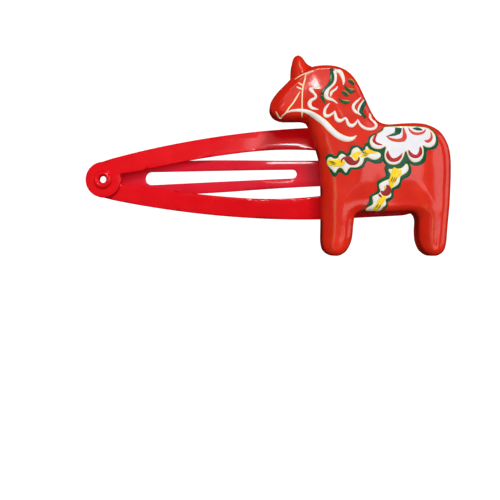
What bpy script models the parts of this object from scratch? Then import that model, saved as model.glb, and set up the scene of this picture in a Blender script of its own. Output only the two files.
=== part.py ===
"""Snap hair clip with a painted dala horse glued across its wide end.

Frame: metres, +Z up the horse, +X from the horse's nose to its rump, -Y out of its painted side.
The origin is the hair grip: the point on the clip's long axis, half way along the tongue's slot.
The clip is a sheet steel stamping.  It is drawn flat on its own axis (s along it from the grip, t
across it, positive upwards) and bent towards +Y afterwards, so that it follows a head.
"""
import math

import bmesh
import bpy
from mathutils import Vector

MM = 0.001

# Clip stamping, in millimetres, measured from the eyelet's centre (d) along the clip's axis
CLIP_LENGTH = 50.0
CLIP_TILT = math.radians(1.45)
SHEET = 0.45
GRIP_TO_EYELET = 16.64
DISC_R = 2.52
WIDEST_AT = 31.57
WIDEST_HALF = 6.45
EDGE_CURVE = 0.003857
END_R = 6.2
ARM_WIDTH = 2.75
ARM_WIDENING = 0.5
ARM_WIDENS_FROM = 20.0
ARM_WIDENING_RUN = 10.0
MOUTH_HALF = 0.72
MOUTH_ENDS_AT = 5.34
NOTCH_END = 1.0
NOTCH_SWEEP = (80.0, -60.0)
ROOT_STEP = 0.05

# Spacing of the outline points, and the clear runs that keep two joined curves apart
OUTER_STEP = 1.6
INNER_STEP = 1.4
NOTCH_STEP = 1.2
DISC_SWEEP = (92.0, 374.0)
DISC_SEGMENTS = 36
OUTER_FROM = 1.2
INNER_CLEAR = 0.15
END_CLEAR = 0.5
NOTCH_CLEAR = 0.6

# Flexure lines, where the one stamping bends when it is snapped open
ARMS_FLEX_AT = 30.3
TONGUE_FLEX_AT = 36.4
FLEX_GAP = 0.3

# Tongue
TONGUE_TIP = 1.6
TONGUE_HALF = 1.75
TONGUE_SWELL = 0.6
TONGUE_SWELL_AT = 12.0
TONGUE_SWELL_SPREAD = 12.0
TONGUE_SLOT = ((6.86, 0.92), (26.67, 0.63))
TIP_SIZED_AT = 1.9
TIP_CLEAR = 0.4

# Bending of the sheet towards +Y
ARM_BOW = 1.6
LOWER_DISC_DROP = 0.75
LOWER_DROP_SPAN = (4.0, 12.0)
TONGUE_BEND_AT = 22.7
TONGUE_BEND_DROP = 0.15
TONGUE_SLOPE = 0.08
BEND_STEP = 1.5

# Eyelet
EYELET_BORE_R = 0.49
EYELET_TUBE_R = 0.72
EYELET_FLANGE_R = 1.30
EYELET_ROLL_R = 1.10
EYELET_FLANGE = 0.33
EYELET_ROLL = 0.28
EYELET_ROUND = 0.12
EYELET_TURNS = 32
DISC_HOLE_R = 1.02
DISC_HOLE_SEGMENTS = 48
GAP = 0.3

# Horse, in its own frame: x from the nose, z from the hooves
HORSE_AT = (6.75, -11.15)
HORSE_THICK = 7.5
HORSE_STANDOFF = 1.0
FRONT_BEVEL = 1.2
BACK_BEVEL = 0.8
EAR_THICK = 2.6
EAR_BEVEL = 0.4
EAR_OFFSET = 2.0
HORSE_OUTLINE = (
    (0.0, 20.1), (0.65, 21.4), (1.95, 22.8), (3.4, 24.1), (5.6, 25.2),
    (8.0, 25.4), (9.8, 24.95), (11.0, 24.05), (11.9, 22.7), (12.8, 20.8),
    (13.6, 19.1), (14.4, 18.0), (15.6, 17.55), (17.6, 17.65), (19.6, 17.7),
    (21.1, 17.45), (22.6, 16.65), (23.55, 15.3), (24.05, 13.6), (24.15, 11.2),
    (24.0, 7.3), (23.7, 3.8), (23.5, 1.6), (23.03, 0.47), (21.9, 0.0),
    (20.75, 0.6), (20.1, 1.9), (19.95, 3.4), (20.0, 4.9), (19.6, 5.75),
    (18.6, 6.0), (16.3, 5.9), (13.3, 6.0), (12.0, 5.9), (11.35, 5.3),
    (11.15, 4.2), (10.9, 2.1), (10.05, 0.5), (8.8, 0.0), (7.55, 0.5),
    (7.05, 1.75), (7.05, 4.4), (7.05, 8.5), (6.85, 12.5), (6.35, 14.6),
    (5.3, 17.7), (4.6, 18.35), (3.1, 18.4), (1.5, 18.45), (0.42, 19.0),
)
EAR_OUTLINE = (
    (2.95, 23.3), (2.9, 25.3), (3.15, 26.4), (3.7, 26.85), (4.3, 26.6),
    (5.0, 25.7), (6.0, 24.9), (5.2, 23.0), (3.8, 22.6),
)

# Glue pad between the horse's flank and the clip
PAD_AT = 41.4
PAD_SIZE = (6.6, 9.2)
PAD_CORNER = 2.6
PAD_BEVEL = 0.12

RED_STEEL = (0.70, 0.012, 0.022)
DARK_RED_STEEL = (0.62, 0.014, 0.035)
HORSE_RED = (0.72, 0.035, 0.012)
GLUE_CLEAR = (0.82, 0.78, 0.66)
SMOOTH_BELOW = math.radians(35.0)
MERGE = 1e-7


def clear_scene():
    for obj in list(bpy.data.objects):
        bpy.data.objects.remove(obj, do_unlink=True)


def make_collection(name):
    collection = bpy.data.collections.new(name)
    bpy.context.scene.collection.children.link(collection)
    return collection


def make_material(name, colour, roughness, metallic):
    material = bpy.data.materials.new(name)
    material.use_nodes = True
    shader = material.node_tree.nodes["Principled BSDF"]
    shader.inputs["Base Color"].default_value = (*colour, 1.0)
    shader.inputs["Roughness"].default_value = roughness
    shader.inputs["Metallic"].default_value = metallic
    return material


def smoothstep(value):
    value = min(max(value, 0.0), 1.0)
    return value * value * (3.0 - 2.0 * value)


def steps(start, stop, size):
    """Evenly spaced values from start to stop, both included."""
    count = max(1, round(abs(stop - start) / size))
    return [start + (stop - start) * i / count for i in range(count + 1)]


def arc(centre, radius, start, stop, segments):
    """Points on an arc, angles in degrees, both ends included."""
    points = []
    for i in range(segments + 1):
        angle = math.radians(start + (stop - start) * i / segments)
        points.append((centre[0] + radius * math.cos(angle), centre[1] + radius * math.sin(angle)))
    return points


def smooth_loop(points, per_span):
    """A closed Catmull-Rom curve through the points."""
    loop = []
    count = len(points)
    for i in range(count):
        p0, p1, p2, p3 = (Vector(points[(i + k - 1) % count]) for k in range(4))
        for j in range(per_span):
            u = j / per_span
            point = 0.5 * (
                2.0 * p1
                + (p2 - p0) * u
                + (2.0 * p0 - 5.0 * p1 + 4.0 * p2 - p3) * u * u
                + (3.0 * p1 - 3.0 * p2 + p3 - p0) * u ** 3
            )
            loop.append((point.x, point.y))
    return loop


# ---- Clip outline: half widths at the distance d from the eyelet ----

def outer_half(d):
    """Outer edge of the frame, before the round end."""
    if d < WIDEST_AT:
        return WIDEST_HALF - EDGE_CURVE * (d - WIDEST_AT) ** 2
    end_centre = CLIP_LENGTH - DISC_R - END_R
    return WIDEST_HALF + (END_R - WIDEST_HALF) * (d - WIDEST_AT) / (end_centre - WIDEST_AT)


def inner_half(d):
    """Inner edge of an arm: a narrow mouth at the disc, then a long opening round the tongue."""
    if d < MOUTH_ENDS_AT:
        share = (d - DISC_R) / (MOUTH_ENDS_AT - DISC_R)
        return MOUTH_HALF + (inner_half(MOUTH_ENDS_AT) - MOUTH_HALF) * share
    widening = ARM_WIDENING * (max(d - ARM_WIDENS_FROM, 0.0) / ARM_WIDENING_RUN) ** 2
    return outer_half(d) - ARM_WIDTH - widening


def tongue_half(d):
    spread = (d - TONGUE_SWELL_AT) / TONGUE_SWELL_SPREAD
    return TONGUE_HALF + TONGUE_SWELL * math.exp(-spread * spread)


# ---- Clip bending: how far the sheet lies behind its flat plane ----

def arm_drop(d):
    return ARM_BOW * (max(ARMS_FLEX_AT - d, 0.0) / ARMS_FLEX_AT) ** 2


def lower_arm_drop(d):
    full, none = LOWER_DROP_SPAN
    return arm_drop(d) + LOWER_DISC_DROP * smoothstep((none - d) / (none - full))


def tongue_drop(d):
    if d > TONGUE_BEND_AT:
        run = (TONGUE_FLEX_AT - d) / (TONGUE_FLEX_AT - TONGUE_BEND_AT)
        return arm_drop(d) + TONGUE_BEND_DROP * smoothstep(run)
    return arm_drop(d) + TONGUE_BEND_DROP + TONGUE_SLOPE * (TONGUE_BEND_AT - d)


def no_drop(_d):
    return 0.0


# ---- Builders ----

def flat_mesh(name, loops):
    """A filled flat mesh from closed loops of (x, z) points: an outline, then its holes."""
    curve = bpy.data.curves.new(name + "_outline", "CURVE")
    curve.dimensions = "2D"
    curve.fill_mode = "BOTH"
    for loop in loops:
        spline = curve.splines.new("POLY")
        spline.points.add(len(loop) - 1)
        spline.use_cyclic_u = True
        for point, (x, z) in zip(spline.points, loop):
            point.co = (x * MM, z * MM, 0.0, 1.0)
    outline = bpy.data.objects.new(name + "_outline", curve)
    bpy.context.scene.collection.objects.link(outline)
    bpy.context.view_layer.update()
    evaluated = outline.evaluated_get(bpy.context.evaluated_depsgraph_get())
    mesh = bpy.data.meshes.new_from_object(evaluated)
    mesh.name = name
    bpy.data.objects.remove(outline, do_unlink=True)
    bpy.data.curves.remove(curve)
    bm = bmesh.new()
    bm.from_mesh(mesh)
    bmesh.ops.remove_doubles(bm, verts=bm.verts, dist=MERGE)
    for vert in bm.verts:
        vert.co = (vert.co.x, 0.0, vert.co.y)
    bm.normal_update()
    for face in bm.faces:
        if face.normal.y > 0.0:
            face.normal_flip()
    bm.to_mesh(mesh)
    bm.free()
    return mesh


def add_object(name, mesh, collection, material, parent=None):
    obj = bpy.data.objects.new(name, mesh)
    collection.objects.link(obj)
    mesh.materials.clear()
    mesh.materials.append(material)
    obj.parent = parent
    return obj


def sheet_piece(name, loops, drop, collection, material, axis_empty, hinge_d):
    """A stamped sheet piece: flat outline in (d, t), bent by drop(d), thickened both ways."""
    mesh = flat_mesh(name, loops)
    lowest = min(point[0] for point in loops[0])
    highest = max(point[0] for point in loops[0])
    bm = bmesh.new()
    bm.from_mesh(mesh)
    for d in steps(lowest, highest, BEND_STEP)[1:-1]:
        geometry = bm.verts[:] + bm.edges[:] + bm.faces[:]
        bmesh.ops.bisect_plane(
            bm, geom=geometry, dist=MERGE, plane_co=(d * MM, 0.0, 0.0), plane_no=(1.0, 0.0, 0.0)
        )
    bmesh.ops.triangulate(bm, faces=bm.faces)
    for vert in bm.verts:
        d = vert.co.x / MM
        vert.co.y = drop(d) * MM
        vert.co.x = (d - hinge_d) * MM
    bm.to_mesh(mesh)
    bm.free()
    piece = add_object(name, mesh, collection, material, axis_empty)
    solidify = piece.modifiers.new("sheet", "SOLIDIFY")
    solidify.thickness = SHEET * MM
    solidify.offset = 0.0
    solidify.use_even_offset = True
    return piece


def slab(name, outline, thickness, mid_y, front_bevel, back_bevel, segments, collection, material):
    """A flat outline extruded along Y, with its front and back rims rounded."""
    mesh = flat_mesh(name, [outline])
    bm = bmesh.new()
    bm.from_mesh(mesh)
    inside = [edge for edge in bm.edges if len(edge.link_faces) == 2]
    bmesh.ops.dissolve_edges(bm, edges=inside, use_verts=False)
    bmesh.ops.translate(bm, verts=bm.verts, vec=(0.0, (mid_y - thickness / 2.0) * MM, 0.0))
    front = bm.faces[:]
    copied = bmesh.ops.extrude_face_region(bm, geom=front, use_keep_orig=True)
    back = [item for item in copied["geom"] if isinstance(item, bmesh.types.BMVert)]
    bmesh.ops.translate(bm, verts=back, vec=(0.0, thickness * MM, 0.0))
    bmesh.ops.recalc_face_normals(bm, faces=bm.faces)
    weight = bm.edges.layers.float.new("bevel_weight_edge")
    for edge in bm.edges:
        along_front = all(vert.co.y < mid_y * MM for vert in edge.verts)
        along_back = all(vert.co.y > mid_y * MM for vert in edge.verts)
        if along_front:
            edge[weight] = 1.0
        elif along_back:
            edge[weight] = back_bevel / front_bevel
    bm.to_mesh(mesh)
    bm.free()
    body = add_object(name, mesh, collection, material)
    bevel = body.modifiers.new("rounded_rims", "BEVEL")
    bevel.limit_method = "WEIGHT"
    bevel.width = front_bevel * MM
    bevel.segments = segments
    bevel.use_clamp_overlap = False
    return body


def eyelet_profile():
    """(radius, height) loop of the eyelet, height towards the front of the clip."""
    flange_foot = SHEET / 2.0 + GAP
    top = flange_foot + EYELET_FLANGE
    roll_head = -SHEET / 2.0 - LOWER_DISC_DROP - GAP
    bottom = roll_head - EYELET_ROLL
    return (
        (EYELET_BORE_R, top - EYELET_ROUND),
        (EYELET_BORE_R + EYELET_ROUND, top),
        (EYELET_FLANGE_R - 0.35, top),
        (EYELET_FLANGE_R - 0.08, top - 0.09),
        (EYELET_FLANGE_R, top - 0.22),
        (EYELET_FLANGE_R - 0.03, flange_foot),
        (EYELET_TUBE_R, flange_foot),
        (EYELET_TUBE_R, roll_head),
        (EYELET_ROLL_R - 0.05, roll_head),
        (EYELET_ROLL_R, roll_head - EYELET_ROUND),
        (EYELET_ROLL_R - EYELET_ROUND, bottom),
        (EYELET_BORE_R + EYELET_ROUND, bottom),
        (EYELET_BORE_R, bottom + 0.1),
    )


# ---- Pieces ----

def arm_outline():
    """The upper arm: outer edge, disc round the eyelet, and back along the inner edge."""
    last = ARMS_FLEX_AT - FLEX_GAP / 2.0
    edge = [(d, outer_half(d)) for d in steps(last, OUTER_FROM, OUTER_STEP)]
    disc = arc((0.0, 0.0), DISC_R, *DISC_SWEEP, DISC_SEGMENTS)
    inner = [(d, inner_half(d)) for d in steps(DISC_R + INNER_CLEAR, last, INNER_STEP)]
    return edge + disc + inner


def hole_loop():
    last = 360.0 - 360.0 / DISC_HOLE_SEGMENTS
    return arc((0.0, 0.0), DISC_HOLE_R, 0.0, last, DISC_HOLE_SEGMENTS - 1)


def mirrored(loop):
    return [(d, -t) for d, t in reversed(loop)]


def base_outline():
    """The wide end: both arm roots, the round end, and the notch that the tongue starts in."""
    first = ARMS_FLEX_AT + FLEX_GAP / 2.0
    end_centre = CLIP_LENGTH - DISC_R - END_R
    root = TONGUE_FLEX_AT + FLEX_GAP / 2.0
    slot_r = (inner_half(root - NOTCH_END) - TONGUE_HALF) / 2.0
    slot_centre = (root - slot_r, TONGUE_HALF + slot_r)
    outer = [(d, outer_half(d)) for d in steps(first, end_centre - END_CLEAR, OUTER_STEP)]
    round_end = arc((end_centre, 0.0), END_R, 90.0, -90.0, 28)
    notch = [(d, inner_half(d)) for d in steps(first, slot_centre[0] - NOTCH_CLEAR, NOTCH_STEP)]
    notch += arc(slot_centre, slot_r, *NOTCH_SWEEP, 7)
    notch.append((root, TONGUE_HALF - ROOT_STEP))
    lower_notch = [(d, -t) for d, t in notch]
    return outer + round_end + mirrored(outer) + lower_notch + notch[::-1]


def tongue_loops():
    """The tongue's outline with its round tip, and its long slot."""
    root = TONGUE_FLEX_AT - FLEX_GAP / 2.0
    tip_r = tongue_half(TONGUE_TIP + TIP_SIZED_AT)
    tip_centre = TONGUE_TIP + tip_r
    upper = [(d, tongue_half(d)) for d in steps(root, tip_centre + TIP_CLEAR, OUTER_STEP)]
    tip = arc((tip_centre, 0.0), tip_r, 90.0, 270.0, 20)
    lower = mirrored(upper)
    (near, near_half), (far, far_half) = TONGUE_SLOT
    slot = arc((near, 0.0), near_half, 90.0, 270.0, 12)
    slot += arc((far, 0.0), far_half, -90.0, 90.0, 12)
    return [upper + tip + lower, slot]


def build_clip(collection):
    """The stamping, cut at its flexure lines, and the eyelet that joins its two arms."""
    red = make_material("red_enamelled_steel", RED_STEEL, 0.16, 0.25)
    tongue_red = make_material("crimson_enamelled_steel", DARK_RED_STEEL, 0.2, 0.25)
    grip = add_empty("clip_axis", None, (0.0, 0.0, 0.0))
    grip.rotation_euler = (0.0, -CLIP_TILT, 0.0)
    base_axis = add_empty("base_datum", grip, (-GRIP_TO_EYELET, 0.0, 0.0))
    arms_axis = add_empty("arms_flexure", grip, (ARMS_FLEX_AT - GRIP_TO_EYELET, 0.0, 0.0))
    tongue_axis = add_empty("tongue_flexure", grip, (TONGUE_FLEX_AT - GRIP_TO_EYELET, 0.0, 0.0))
    sheet_piece("clip_base", [base_outline()], no_drop, collection, red, base_axis, 0.0)
    upper = [arm_outline(), hole_loop()]
    lower = [mirrored(arm_outline()), hole_loop()]
    sheet_piece("upper_arm", upper, arm_drop, collection, red, arms_axis, ARMS_FLEX_AT)
    sheet_piece("lower_arm", lower, lower_arm_drop, collection, red, arms_axis, ARMS_FLEX_AT)
    sheet_piece(
        "tongue", tongue_loops(), tongue_drop, collection, tongue_red, tongue_axis, TONGUE_FLEX_AT
    )
    build_eyelet(collection, red, arms_axis)


def build_eyelet(collection, material, arms_axis):
    mesh = bpy.data.meshes.new("eyelet_rivet")
    bm = bmesh.new()
    ring = [bm.verts.new((radius * MM, 0.0, height * MM)) for radius, height in eyelet_profile()]
    for i, vert in enumerate(ring):
        bm.edges.new((vert, ring[(i + 1) % len(ring)]))
    bm.to_mesh(mesh)
    bm.free()
    eyelet = add_object("eyelet_rivet", mesh, collection, material, arms_axis)
    screw = eyelet.modifiers.new("turned", "SCREW")
    screw.axis = "Z"
    screw.steps = EYELET_TURNS
    screw.render_steps = EYELET_TURNS
    screw.use_merge_vertices = True
    screw.merge_threshold = 1e-6
    bow_slope = math.atan(2.0 * ARM_BOW / ARMS_FLEX_AT)
    eyelet.location = (-ARMS_FLEX_AT * MM, arm_drop(0.0) * MM, 0.0)
    eyelet.rotation_euler = (math.radians(90.0), 0.0, -bow_slope)


def add_empty(name, parent, location):
    empty = bpy.data.objects.new(name, None)
    bpy.context.scene.collection.objects.link(empty)
    empty.parent = parent
    empty.location = Vector(location) * MM
    return empty


def build_horse(collection, tools):
    """The flat-sawn horse: a slab with cut-back rims, and two ears joined to its head."""
    red = make_material("red_lacquered_wood", HORSE_RED, 0.18, 0.0)
    mid_y = -(SHEET / 2.0 + HORSE_STANDOFF + HORSE_THICK / 2.0)
    origin_x, origin_z = HORSE_AT
    outline = [(x + origin_x, z + origin_z) for x, z in smooth_loop(HORSE_OUTLINE, 3)]
    horse = slab(
        "dala_horse", outline, HORSE_THICK, mid_y, FRONT_BEVEL, BACK_BEVEL, 4, collection, red
    )
    ear_outline = [(x + origin_x, z + origin_z) for x, z in smooth_loop(EAR_OUTLINE, 3)]
    for side, offset in (("near", -EAR_OFFSET), ("far", EAR_OFFSET)):
        ear = slab(
            side + "_ear", ear_outline, EAR_THICK, mid_y + offset, EAR_BEVEL, EAR_BEVEL, 3,
            tools, red
        )
        ear.hide_render = True
        ear.display_type = "WIRE"
        union = horse.modifiers.new("join_" + side + "_ear", "BOOLEAN")
        union.operation = "UNION"
        union.solver = "EXACT"
        union.object = ear


def build_glue(collection):
    """The set pad of glue between the horse's flank and the clip's wide end."""
    clear = make_material("clear_glue", GLUE_CLEAR, 0.25, 0.0)
    length, width = (size / 2.0 - PAD_CORNER for size in PAD_SIZE)
    centre = PAD_AT - GRIP_TO_EYELET
    outline = []
    for x, z, start in ((length, width, 0), (-length, width, 90), (-length, -width, 180),
                        (length, -width, 270)):
        outline += arc((centre + x, z), PAD_CORNER, start, start + 90, 6)
    thickness = HORSE_STANDOFF - 2.0 * GAP
    mid_y = -(SHEET + HORSE_STANDOFF) / 2.0
    pad = slab("glue_pad", outline, thickness, mid_y, PAD_BEVEL, PAD_BEVEL, 2, collection, clear)
    pad.rotation_euler = (0.0, -CLIP_TILT, 0.0)


def shade(collection):
    for obj in collection.objects:
        obj.data.shade_smooth()
        obj.data.set_sharp_from_angle(angle=SMOOTH_BELOW)


def main():
    clear_scene()
    parts = make_collection("dala_horse_hair_clip")
    tools = make_collection("joining_shapes")
    build_clip(parts)
    build_horse(parts, tools)
    build_glue(parts)
    shade(parts)


main()
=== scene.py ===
"""Looks for a snap hair clip that carries a painted dala horse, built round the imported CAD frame.

Row frame: metres, +Z up the horse, +X from its nose to its rump, -Y out of its painted side, and
the origin on the clip's axis, half way along the tongue's slot.  Shapes are worked out in
millimetres: the clip in (d, t), d from the eyelet along the clip's axis and t across it, and the
horse in (x, z), x from its nose and z from its hooves.  Heights are along Y, so they grow towards
the back.
"""
import math

import bmesh
import bpy
import numpy as np
from mathutils import Matrix, Vector
from mathutils.geometry import delaunay_2d_cdt


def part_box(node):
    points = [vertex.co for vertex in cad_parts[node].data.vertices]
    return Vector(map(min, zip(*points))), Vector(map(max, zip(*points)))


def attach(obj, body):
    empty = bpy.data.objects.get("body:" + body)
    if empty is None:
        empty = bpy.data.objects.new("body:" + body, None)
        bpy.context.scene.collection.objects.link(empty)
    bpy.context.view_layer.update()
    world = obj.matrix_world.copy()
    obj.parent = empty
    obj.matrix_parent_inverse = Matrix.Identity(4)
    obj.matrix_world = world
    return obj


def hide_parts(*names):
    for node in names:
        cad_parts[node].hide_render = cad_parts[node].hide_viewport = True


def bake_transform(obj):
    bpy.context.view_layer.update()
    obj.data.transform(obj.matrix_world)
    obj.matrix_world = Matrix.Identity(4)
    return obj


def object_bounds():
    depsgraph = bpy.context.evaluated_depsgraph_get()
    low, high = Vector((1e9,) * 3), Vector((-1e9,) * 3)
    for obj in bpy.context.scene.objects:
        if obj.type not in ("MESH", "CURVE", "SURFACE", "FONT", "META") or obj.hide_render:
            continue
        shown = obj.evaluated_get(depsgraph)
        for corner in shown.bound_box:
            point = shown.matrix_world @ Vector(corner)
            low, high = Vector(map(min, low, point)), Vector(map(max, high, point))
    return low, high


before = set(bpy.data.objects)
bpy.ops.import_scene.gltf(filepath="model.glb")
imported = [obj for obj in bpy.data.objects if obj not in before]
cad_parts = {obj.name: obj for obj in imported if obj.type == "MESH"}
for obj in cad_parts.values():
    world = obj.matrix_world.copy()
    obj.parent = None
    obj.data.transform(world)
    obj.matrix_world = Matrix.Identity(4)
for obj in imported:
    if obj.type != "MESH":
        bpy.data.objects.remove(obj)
cad_low, cad_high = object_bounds()

MM = 0.001
WELD = 1e-7

# ---- Clip stamping, by the same rules as the CAD part ----
CLIP_LENGTH = 50.0
CLIP_TILT = math.radians(1.45)
CLIP_TURN = Matrix.Rotation(-CLIP_TILT, 3, "Y")
SHEET = 0.45
SHEET_EDGE = 0.13
GRIP_TO_EYELET = 16.64
DISC_R = 2.52
DISC_HOLE_R = 0.8
DISC_SWEEP = (92.0, 374.0)
WIDEST_AT = 31.57
WIDEST_HALF = 6.45
EDGE_CURVE = 0.003857
END_R = 6.2
END_AT = CLIP_LENGTH - DISC_R - END_R
ARM_WIDTH = 2.75
ARM_WIDENING = 0.5
ARM_WIDENS_FROM = 20.0
ARM_WIDENING_RUN = 10.0
MOUTH_HALF = 0.72
MOUTH_ENDS_AT = 5.34
NOTCH_END = 1.0
NOTCH_SWEEP = (80.0, -60.0)

# Flexure lines, and how far along the sheet the bending spreads
ARMS_FLEX_AT = 30.3
TONGUE_FLEX_AT = 36.4

# Tongue
TONGUE_ROOT = 36.7
TONGUE_ROOT_T = (-1.2, -0.6, 0.0, 0.6, 1.2)
TONGUE_TIP = 1.6
TONGUE_HALF = 1.75
TONGUE_SWELL = 0.6
TONGUE_SWELL_AT = 12.0
TONGUE_SWELL_SPREAD = 12.0
TONGUE_SLOT = ((6.86, 0.91), (26.67, 0.61))
TIP_SIZED_AT = 1.9

# Outline spacing, and the clear runs that keep two joined curves apart
OUTLINE_STEP = 0.8
ROOT_STEP = 0.02
OUTER_FROM = 1.2
INNER_CLEAR = 0.15
END_CLEAR = 0.5
NOTCH_CLEAR = 0.6
TIP_CLEAR = 0.4
SHEET_CLEAR = 0.3
EDGE_RINGS = (0.02, 0.06, SHEET_EDGE)
EDGE_RING_KEPT = 0.9
EDGE_RING_CLEAR = 0.5
CUT_TOLERANCE = 1e-6
SEAM_WELD = 2e-6

# Bending of the sheet towards +Y
ARM_BOW = 1.6
ARM_LEAN = 0.16
LEAN_SPAN = (5.0, 39.0)
LEAN_RUN_IN = 9.0
LEAN_RUN_OUT = 7.0
LOWER_DISC_DROP = 0.75
LOWER_DROP_SPAN = (4.0, 12.0)
TONGUE_BEND_AT = 22.7
TONGUE_BEND_DROP = 0.15
TONGUE_SLOPE = 0.08

# Eyelet: (radius, height) from the upper disc's middle, then from the lower disc's back face
EYELET_FRONT = (
    (0.47, 0.1), (0.5, -0.3), (0.56, -0.52), (0.7, -0.7), (0.9, -0.77), (1.1, -0.69),
    (1.26, -0.5), (1.33, -0.3), (1.3, -0.215), (1.1, -0.2), (0.8, -0.16), (0.77, 0.2),
)
EYELET_BACK = (
    (0.77, -0.1), (0.85, 0.02), (1.02, 0.03), (1.1, 0.14), (1.02, 0.28), (0.84, 0.33),
    (0.76, 0.27), (0.67, 0.1),
)
EYELET_BORE_END = (0.56, 0.6)
EYELET_TURNS = 72

# ---- Horse ----
HORSE_AT = (6.75, -11.15)
FLANK_Y = -1.225
FACE_Y = -8.725
HORSE_OUTLINE = (
    (0.0, 20.1), (0.65, 21.4), (1.95, 22.8), (3.4, 24.1), (5.6, 25.2),
    (8.0, 25.4), (9.8, 24.95), (11.0, 24.05), (11.9, 22.7), (12.8, 20.8),
    (13.6, 19.1), (14.4, 18.0), (15.6, 17.55), (17.6, 17.65), (19.6, 17.7),
    (21.1, 17.45), (22.6, 16.65), (23.55, 15.3), (24.05, 13.6), (24.15, 11.2),
    (24.0, 7.3), (23.7, 3.8), (23.5, 1.6), (23.03, 0.47), (21.9, 0.0),
    (20.75, 0.6), (20.1, 1.9), (19.95, 3.4), (20.0, 4.9), (19.6, 5.75),
    (18.6, 6.0), (16.3, 5.9), (13.3, 6.0), (12.0, 5.9), (11.35, 5.3),
    (11.15, 4.2), (10.9, 2.1), (10.05, 0.5), (8.8, 0.0), (7.55, 0.5),
    (7.05, 1.75), (7.05, 4.4), (7.05, 8.5), (6.85, 12.5), (6.35, 14.6),
    (5.3, 17.7), (4.6, 18.35), (3.1, 18.4), (1.5, 18.45), (0.42, 19.0),
)
HORSE_STEP = 0.26
HORSE_LATTICE = 0.42
HORSE_RIM_ROWS = 6
NORMALS_AT = 0.05
RINGS_ALONG_RIDGE = (0.35, 0.2, 0.1, 0.03, -0.03, -0.1, -0.2)
RINGS_ALONG_EDGE = (0.34, 0.24, 0.15, 0.08, 0.03, 0.01)

# Carved relief: the chamfer's width by the way its edge faces, its steepness, the rounded ridge, and the
# painted highlight along it
CHAMFER = 0.72
WIDER_FORWARDS = 0.85
WIDER_REARWARDS = 0.38
NARROWER_UPWARDS = 0.18
CHAMFER_WAVER = 0.07
STEEPNESS = 0.72
STEEPER_FORWARDS = 0.16
CHAMFER_STRAIGHT = 0.35
EDGE_R = 0.34
RIDGE_R = 0.05
CROWN = 0.16
CROWN_RUN = 4.0
FACE_UNEVEN = 0.035
BACK_CHAMFER = 0.6
BACK_STEEPNESS = 0.5
BACK_EDGE_R = 0.25
BACK_UNEVEN = 0.02
# Painted highlight along the forward-facing ridges: its width, how far up it reaches, its fade and its
# breaks
HIGHLIGHT_WIDTH = 0.13
HIGHLIGHT_TOP = 17.0
HIGHLIGHT_FADE = 2.0
HIGHLIGHT_BREAKS = 0.25
WAVES = (
    # share, then two sine waves of (rate along x, rate along z, phase)
    (0.65, (0.83, 0.41, 0.7), (-0.35, 0.57, 1.9)),
    (0.35, (1.61, -1.13, 2.3), (0.9, 1.27, 0.4)),
)

EAR_OUTLINE = (
    (2.95, 23.3), (2.9, 25.3), (3.15, 26.4), (3.7, 26.85), (4.3, 26.6),
    (5.0, 25.7), (6.0, 24.9), (5.2, 23.0), (3.8, 22.6),
)
EAR_MID_Y = (-6.975, -2.975)
EAR_HALF = 1.3
EAR_STEP = 0.16
EAR_LATTICE = 0.24
EAR_RINGS = (0.5, 0.35, 0.25, 0.15, 0.08, 0.03)
EAR_SLANT = 1.15
EAR_SLANT_RUN = 0.45
EAR_CROWN = 0.12
EAR_CROWN_RUN = 1.2

GLUE_POINTS = 90
GLUE_FILL = 0.94
GLUE_BULGES = ((0.035, 3.0, 0.6), (0.02, 7.0, 1.7))
GLUE_SQUARENESS = 3
GLUE_LATTICE = 0.5
GLUE_RINGS = (0.4, 0.25, 0.12, 0.05)
GLUE_OVERLAP = 0.03
GLUE_EDGE_R = 0.5
GLUE_EDGE_SHARE = 0.35
GLUE_RIM_ROWS = 3


# ---- Plane geometry ----

TINY = 1e-9
LATTICE_ROW = 0.866
POINTS_AT_ONCE = 2000
NORMAL_BLEND = 0.25
RING_CLEAR = 0.35
RING_KEPT = 0.94
CELL = 0.07
CLOSEST_SQUARED = 0.0012


def smoothstep(value):
    value = np.clip(value, 0.0, 1.0)
    return value * value * (3.0 - 2.0 * value)


def steps(start, stop, size):
    count = max(1, round(abs(stop - start) / size))
    return [start + (stop - start) * i / count for i in range(count + 1)]


def arc(centre, radius, start, stop, segments):
    points = []
    for i in range(segments + 1):
        angle = math.radians(start + (stop - start) * i / segments)
        points.append((centre[0] + radius * math.cos(angle), centre[1] + radius * math.sin(angle)))
    return points


def unit(vectors):
    return vectors / np.maximum(np.linalg.norm(vectors, axis=1), TINY)[:, None]


def spline(points, per_span, closed):
    """Catmull-Rom through rows of any length: (x, z) points, or (x, z, width)."""
    rows = np.array(points, float)
    count = len(rows)
    out = []
    for i in range(count if closed else count - 1):
        if closed:
            p0, p1, p2, p3 = (rows[(i + k - 1) % count] for k in range(4))
        else:
            p0, p1, p2, p3 = (rows[min(max(i + k - 1, 0), count - 1)] for k in range(4))
        for j in range(per_span):
            u = j / per_span
            out.append(0.5 * (
                2.0 * p1
                + (p2 - p0) * u
                + (2.0 * p0 - 5.0 * p1 + 4.0 * p2 - p3) * u * u
                + (3.0 * p1 - 3.0 * p2 + p3 - p0) * u ** 3
            ))
    if not closed:
        out.append(rows[-1])
    return np.array(out)


def counter_clockwise(loop):
    loop = np.asarray(loop, float)
    x, z = loop[:, 0], loop[:, 1]
    turn = float(np.sum(x * np.roll(z, -1) - np.roll(x, -1) * z))
    return loop if turn > 0.0 else loop[::-1].copy()


def clockwise(loop):
    return counter_clockwise(loop)[::-1]


def even_loop(points, spacing):
    """The closed curve through the points, resampled at an even spacing, counter-clockwise."""
    fine = spline(points, per_span=24, closed=True)
    ring = np.vstack([fine, fine[:1]])
    lengths = np.concatenate([[0.0], np.cumsum(np.linalg.norm(np.diff(ring, axis=0), axis=1))])
    count = int(round(lengths[-1] / spacing))
    at = np.linspace(0.0, lengths[-1], count, endpoint=False)
    return counter_clockwise(np.stack([np.interp(at, lengths, ring[:, k]) for k in (0, 1)], axis=1))


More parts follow.
